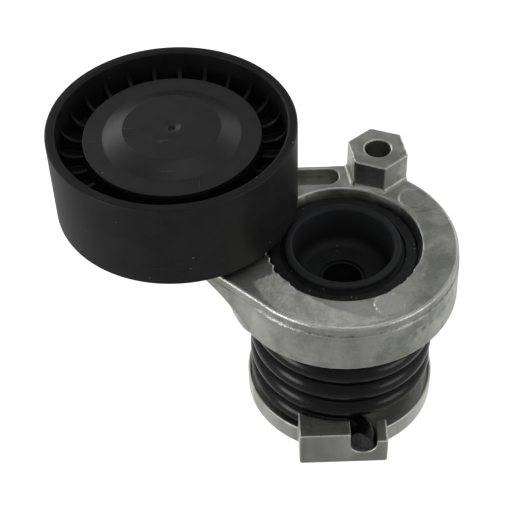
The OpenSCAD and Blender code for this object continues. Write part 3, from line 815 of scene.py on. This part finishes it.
def spring_inside_out(co, quads, normals):
    """Whether the quads wind against the given normals."""
    q = co[quads]
    n = np.cross(q[:, 1] - q[:, 0], q[:, 2] - q[:, 0])
    return (n * normals[quads[:, 0]]).sum() < 0


def dress_cad_nodes():
    """Finishes for the CAD nodes that are carried over, each fed to the node's own material slots."""
    plain = steel("plain_steel_look", (0.40, 0.40, 0.385), (0.52, 0.52, 0.50), 0.36)
    # Near-black steel for the bolt sleeve: painted shade deep in the cup's hole.
    painted_shade_steel = steel("dark_steel_painted_shade_look", (0.035, 0.036, 0.037), (0.06, 0.06, 0.06), 0.5, 0.6)
    zinc = steel("zinc_steel_look", (0.50, 0.50, 0.46), (0.62, 0.61, 0.57), 0.32)
    bearing = steel("bearing_steel_look", (0.52, 0.53, 0.54), (0.64, 0.65, 0.66), 0.22)
    bush = polymer("bush_polymer_look", (0.30, 0.20, 0.11), (0.46, 0.33, 0.19), 0.5)
    cage = polymer("cage_polymer_look", (0.50, 0.44, 0.30), (0.62, 0.56, 0.42), 0.42)
    rubber = polymer("seal_rubber_look", (0.028, 0.018, 0.014), (0.05, 0.035, 0.028), 0.62)
    finishes = {
        "pivot_post": plain, "bolt_sleeve": painted_shade_steel, "pivot_tube": plain, "bearing_spacer": plain,
        "rear_dust_shield": plain, "pulley_bolt": zinc, "bolt_washer": zinc, "bearing_inner_ring": bearing,
        "bearing_outer_ring": bearing, "bearing_cage": cage, "pivot_bush_lower": bush,
        "pivot_bush_upper": bush, "bearing_seal_top": rubber, "bearing_seal_bottom": rubber}
    make_balls(bearing)
    for name, material in finishes.items():
        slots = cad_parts[name].data.materials
        if not slots:
            slots.append(material)
        for i in range(len(slots)):
            slots[i] = material


# ---------------------------------------------------------------- setting

def glowing_paper(name, glow):
    """Pale paper, lit through from behind so that it stays pale under low light."""
    p = Paint(name)
    tone = p.mix(p.noise(40, 3), (0.93, 0.93, 0.93), (0.95, 0.95, 0.95))
    p.set(Base_Color=tone, Roughness=0.9, Emission_Color=(1.0, 1.0, 1.0), Emission_Strength=glow)
    return p.bumps((p.noise(0.8, 3), 0.05, 0.02))


def make_stage():
    """Floor and a far round backdrop. Neither lights the object: the studio's own lights do."""
    h = 0.9
    floor = bpy.data.meshes.new("floor")
    floor.from_pydata([(-h, -h, 0), (h, -h, 0), (h, h, 0), (-h, h, 0)], [], [(0, 1, 2, 3)])
    floor.materials.append(glowing_paper("floor_paper", 0.78))
    backdrop = bpy.data.meshes.new("backdrop")
    shape = bmesh.new()
    bmesh.ops.create_icosphere(shape, subdivisions=4, radius=4)
    shape.to_mesh(backdrop)
    backdrop.materials.append(glowing_paper("backdrop_paper", 1.0))
    for mesh in (floor, backdrop):
        o = bpy.data.objects.new(mesh.name, mesh)
        o.location.z = -0.0002
        o.visible_diffuse = o.visible_glossy = o.visible_transmission = False
        o.visible_shadow = False
        bpy.context.scene.collection.objects.link(o)


def soft_light(name, place, size, power, aim=(0, 0, 0.04)):
    data = bpy.data.lights.new(name, "AREA")
    data.shape, data.size, data.size_y, data.energy = "RECTANGLE", size[0], size[1], power
    o = bpy.data.objects.new(name, data)
    o.location = place
    o.rotation_mode = "QUATERNION"
    o.rotation_quaternion = (Vector(aim) - Vector(place)).to_track_quat("-Z", "Y")
    bpy.context.scene.collection.objects.link(o)


def make_lights():
    world = bpy.data.worlds.new("studio")
    bpy.context.scene.world = world
    world.use_nodes = True
    nodes, links = world.node_tree.nodes, world.node_tree.links
    split, fade = nodes.new("ShaderNodeSeparateXYZ"), nodes.new("ShaderNodeMapRange")
    links.new(nodes.new("ShaderNodeTexCoord").outputs["Generated"], split.inputs[0])
    links.new(split.outputs[2], fade.inputs["Value"])
    for key, value in (("From Min", -0.5), ("From Max", 0.35), ("To Min", 0.28), ("To Max", 0.22)):
        fade.inputs[key].default_value = value

    def combine(operation, a, b, c=0.0):
        n = nodes.new("ShaderNodeMath")
        n.operation = operation
        for socket, value in zip(n.inputs, (a, b, c)):
            if isinstance(value, bpy.types.NodeSocket):
                links.new(value, socket)
            else:
                socket.default_value = value
        return n.outputs[0]

    x, y, z = split.outputs
    total = combine("MULTIPLY_ADD", combine("MULTIPLY", x, x), 0.17, fade.outputs["Result"])
    below = combine("MULTIPLY", combine("MAXIMUM", y, 0), combine("MINIMUM", z, 0))
    total = combine("MULTIPLY_ADD", below, -1.3, total)
    nodes["Background"].inputs["Color"].default_value = (1, 1, 1, 1)
    links.new(total, nodes["Background"].inputs["Strength"])
    soft_light("left_low", (-0.86, -0.58, 0.16), (0.4, 0.5), 2.6)
    soft_light("right_low", (0.86, -0.56, 0.16), (0.5, 0.45), 1.3)
    soft_light("left_back", (-0.6, 0.78, 0.5), (0.5, 0.5), 1.5)
    soft_light("right_back", (0.62, 0.78, 0.48), (0.45, 0.45), 0.8)
    soft_light("top", (0.1, -0.2, 1.0), (0.7, 0.5), 0.8)


def make_camera():
    data = bpy.data.cameras.new("camera")
    data.lens, data.sensor_width = 93.46, 36
    data.clip_start, data.clip_end = 0.01, 10
    o = bpy.data.objects.new("camera", data)
    tilt, roll = math.radians(90 - 45.8626), math.radians(-1.9144)
    o.matrix_world = (Matrix.Translation((-0.0230056, -0.24485, 0.30415))
                      @ Matrix.Rotation(tilt, 4, "X") @ Matrix.Rotation(roll, 4, "Z"))
    bpy.context.scene.collection.objects.link(o)
    bpy.context.scene.camera = o


def main():
    make_stage()
    make_lights()
    make_camera()
    bpy.context.scene.view_settings.view_transform = "Standard"
    make_arm(cast_aluminium("arm_cast_look", True))
    make_base(cast_aluminium("base_cast_look", False))
    make_pulley(moulded_black("pulley_plastic_look", (0.009, 0.0092, 0.0092), (0.0155, 0.016, 0.0152), 0.46))
    make_cap(cap_plastic())
    make_cup(coated_steel())
    make_thrust_ring(grease_dark_ring())
    make_spring(spring_lacquer())
    dress_cad_nodes()


main()
